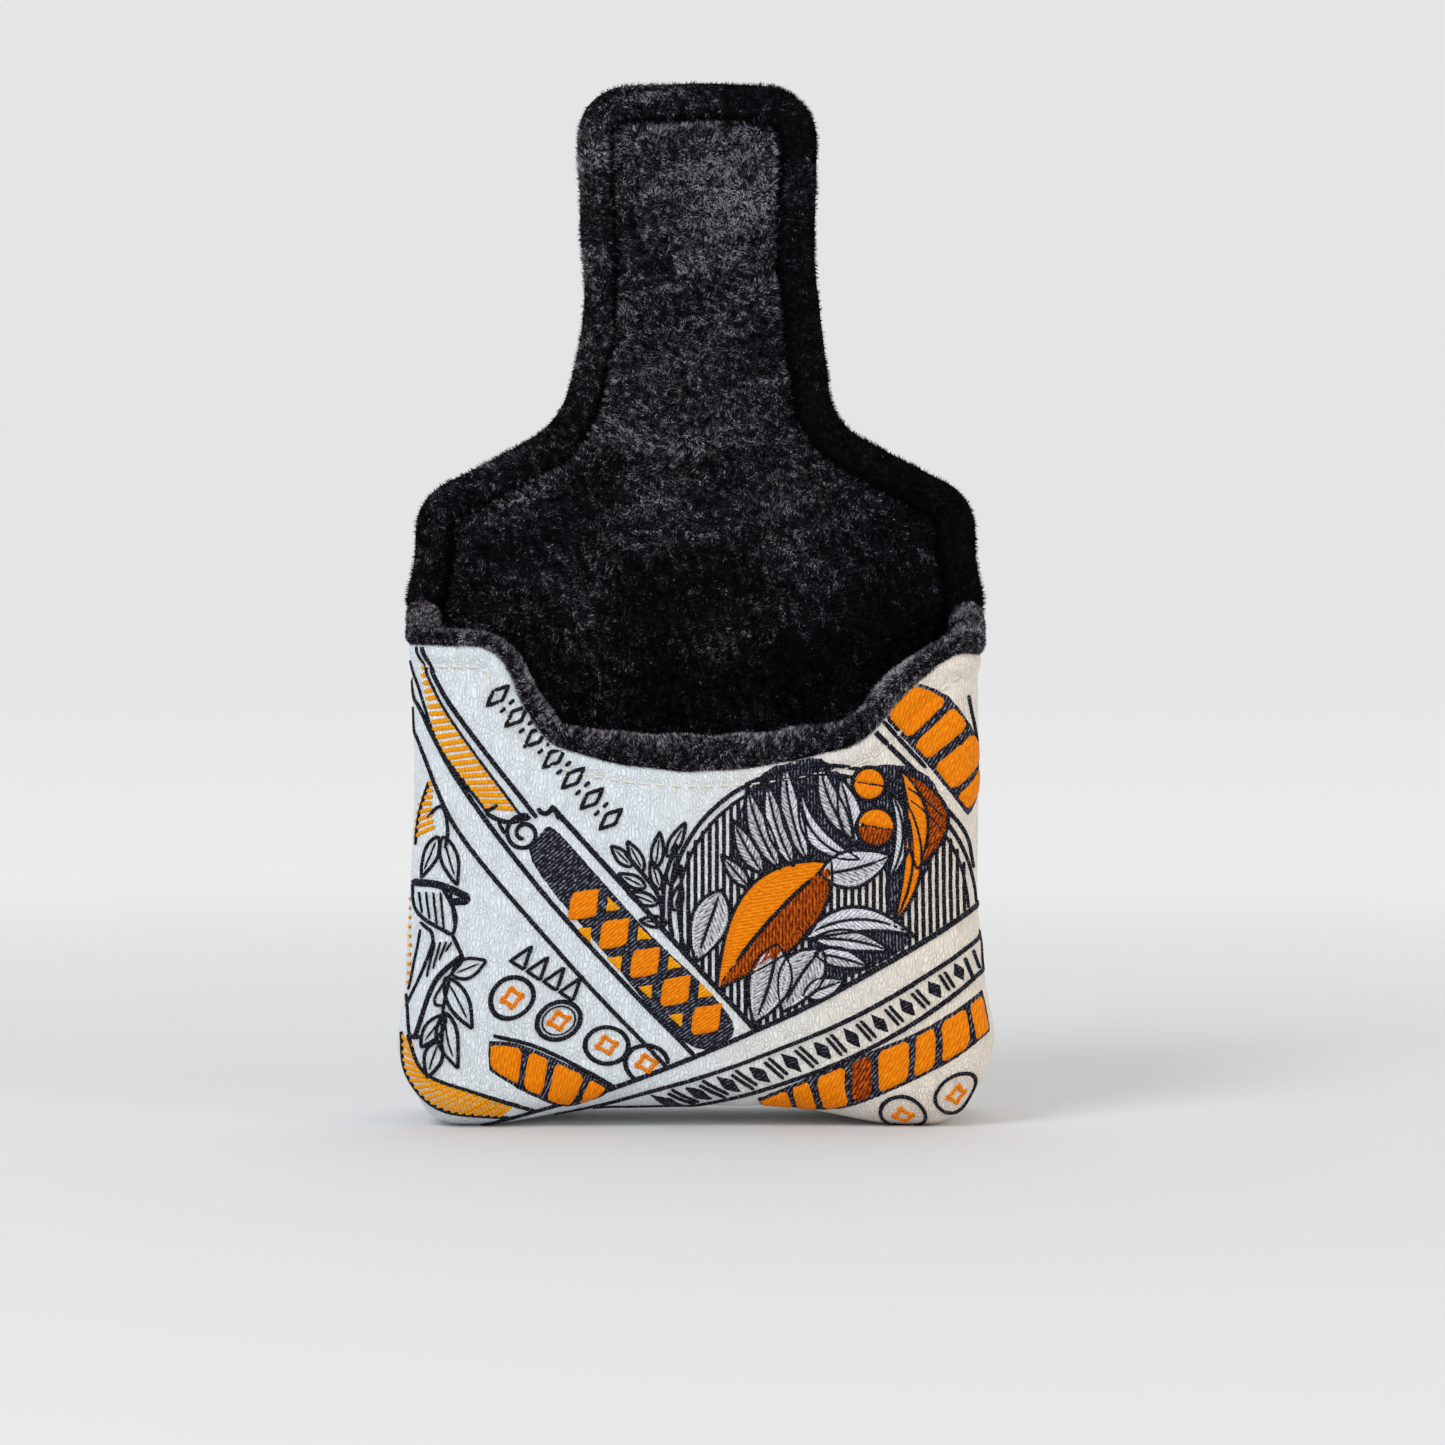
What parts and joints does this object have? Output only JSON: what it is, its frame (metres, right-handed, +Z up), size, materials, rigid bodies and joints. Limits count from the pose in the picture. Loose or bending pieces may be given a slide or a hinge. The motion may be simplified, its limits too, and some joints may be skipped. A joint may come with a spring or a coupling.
{
  "type": "mallet putter head cover",
  "caption": "Padded embroidered leather pocket with a plush lining and a fold-over magnetic flap, which covers the head of a mallet golf putter.",
  "frame": {"origin": "on the surface it stands on, under the middle of the pocket's base", "axes": "+Z up, +X to the right, +Y to the back; the scooped front panel faces -Y"},
  "size_m": [0.124, 0.0428, 0.227],
  "materials": {
    "white_leather": "satin",
    "black_plush": "matte",
    "foam": "matte",
    "magnet_metal": "polished",
    "clear_pvc": "gloss",
    "navy_thread": "satin",
    "orange_thread": "satin",
    "rust_thread": "satin",
    "silver_thread": "satin",
    "cream_thread": "satin",
    "black_thread": "satin"
  },
  "bodies": {
    "pocket": {"front_leather": "white_leather", "front_foam": "foam", "front_lining": "black_plush", "back_leather": "white_leather", "back_foam": "foam", "back_lining": "black_plush", "left_side_leather": "white_leather", "left_side_foam": "foam", "left_side_lining": "black_plush", "right_side_leather": "white_leather", "right_side_foam": "foam", "right_side_lining": "black_plush", "bottom_leather": "white_leather", "bottom_foam": "foam", "bottom_lining": "black_plush", "front_rim_binding": "black_plush", "left_rim_binding": "black_plush", "right_rim_binding": "black_plush", "rim_topstitch": "cream_thread", "front_magnet": "magnet_metal", "front_magnet_pouch": "clear_pvc", "front_dark_embroidery": "navy_thread", "front_orange_embroidery": "orange_thread", "front_rust_embroidery": "rust_thread", "front_silver_embroidery": "silver_thread", "back_dark_embroidery": "navy_thread", "back_orange_embroidery": "orange_thread"},
    "lid": {"lid_leather": "white_leather", "lid_foam": "foam", "lid_lining": "black_plush", "lid_left_binding": "black_plush", "lid_right_binding": "black_plush", "lid_binding_stitch": "black_thread"},
    "flap": {"flap_leather": "white_leather", "flap_foam": "foam", "flap_lining": "black_plush", "flap_binding": "black_plush", "flap_binding_stitch": "black_thread", "flap_magnet": "magnet_metal", "flap_magnet_pouch": "clear_pvc", "flap_dark_embroidery": "navy_thread", "flap_orange_embroidery": "orange_thread"}
  },
  "joints": [
    {"name": "lid_fold", "type": "hinge", "parent": "pocket", "child": "lid", "pos_m": [0, 0.015, 0.11], "axis": [1, 0, 0], "range_deg": [-30, 90]},
    {"name": "flap_fold", "type": "hinge", "parent": "lid", "child": "flap", "pos_m": [0, 0.015, 0.1468], "axis": [1, 0, 0], "range_deg": [-30, 90]}
  ]
}
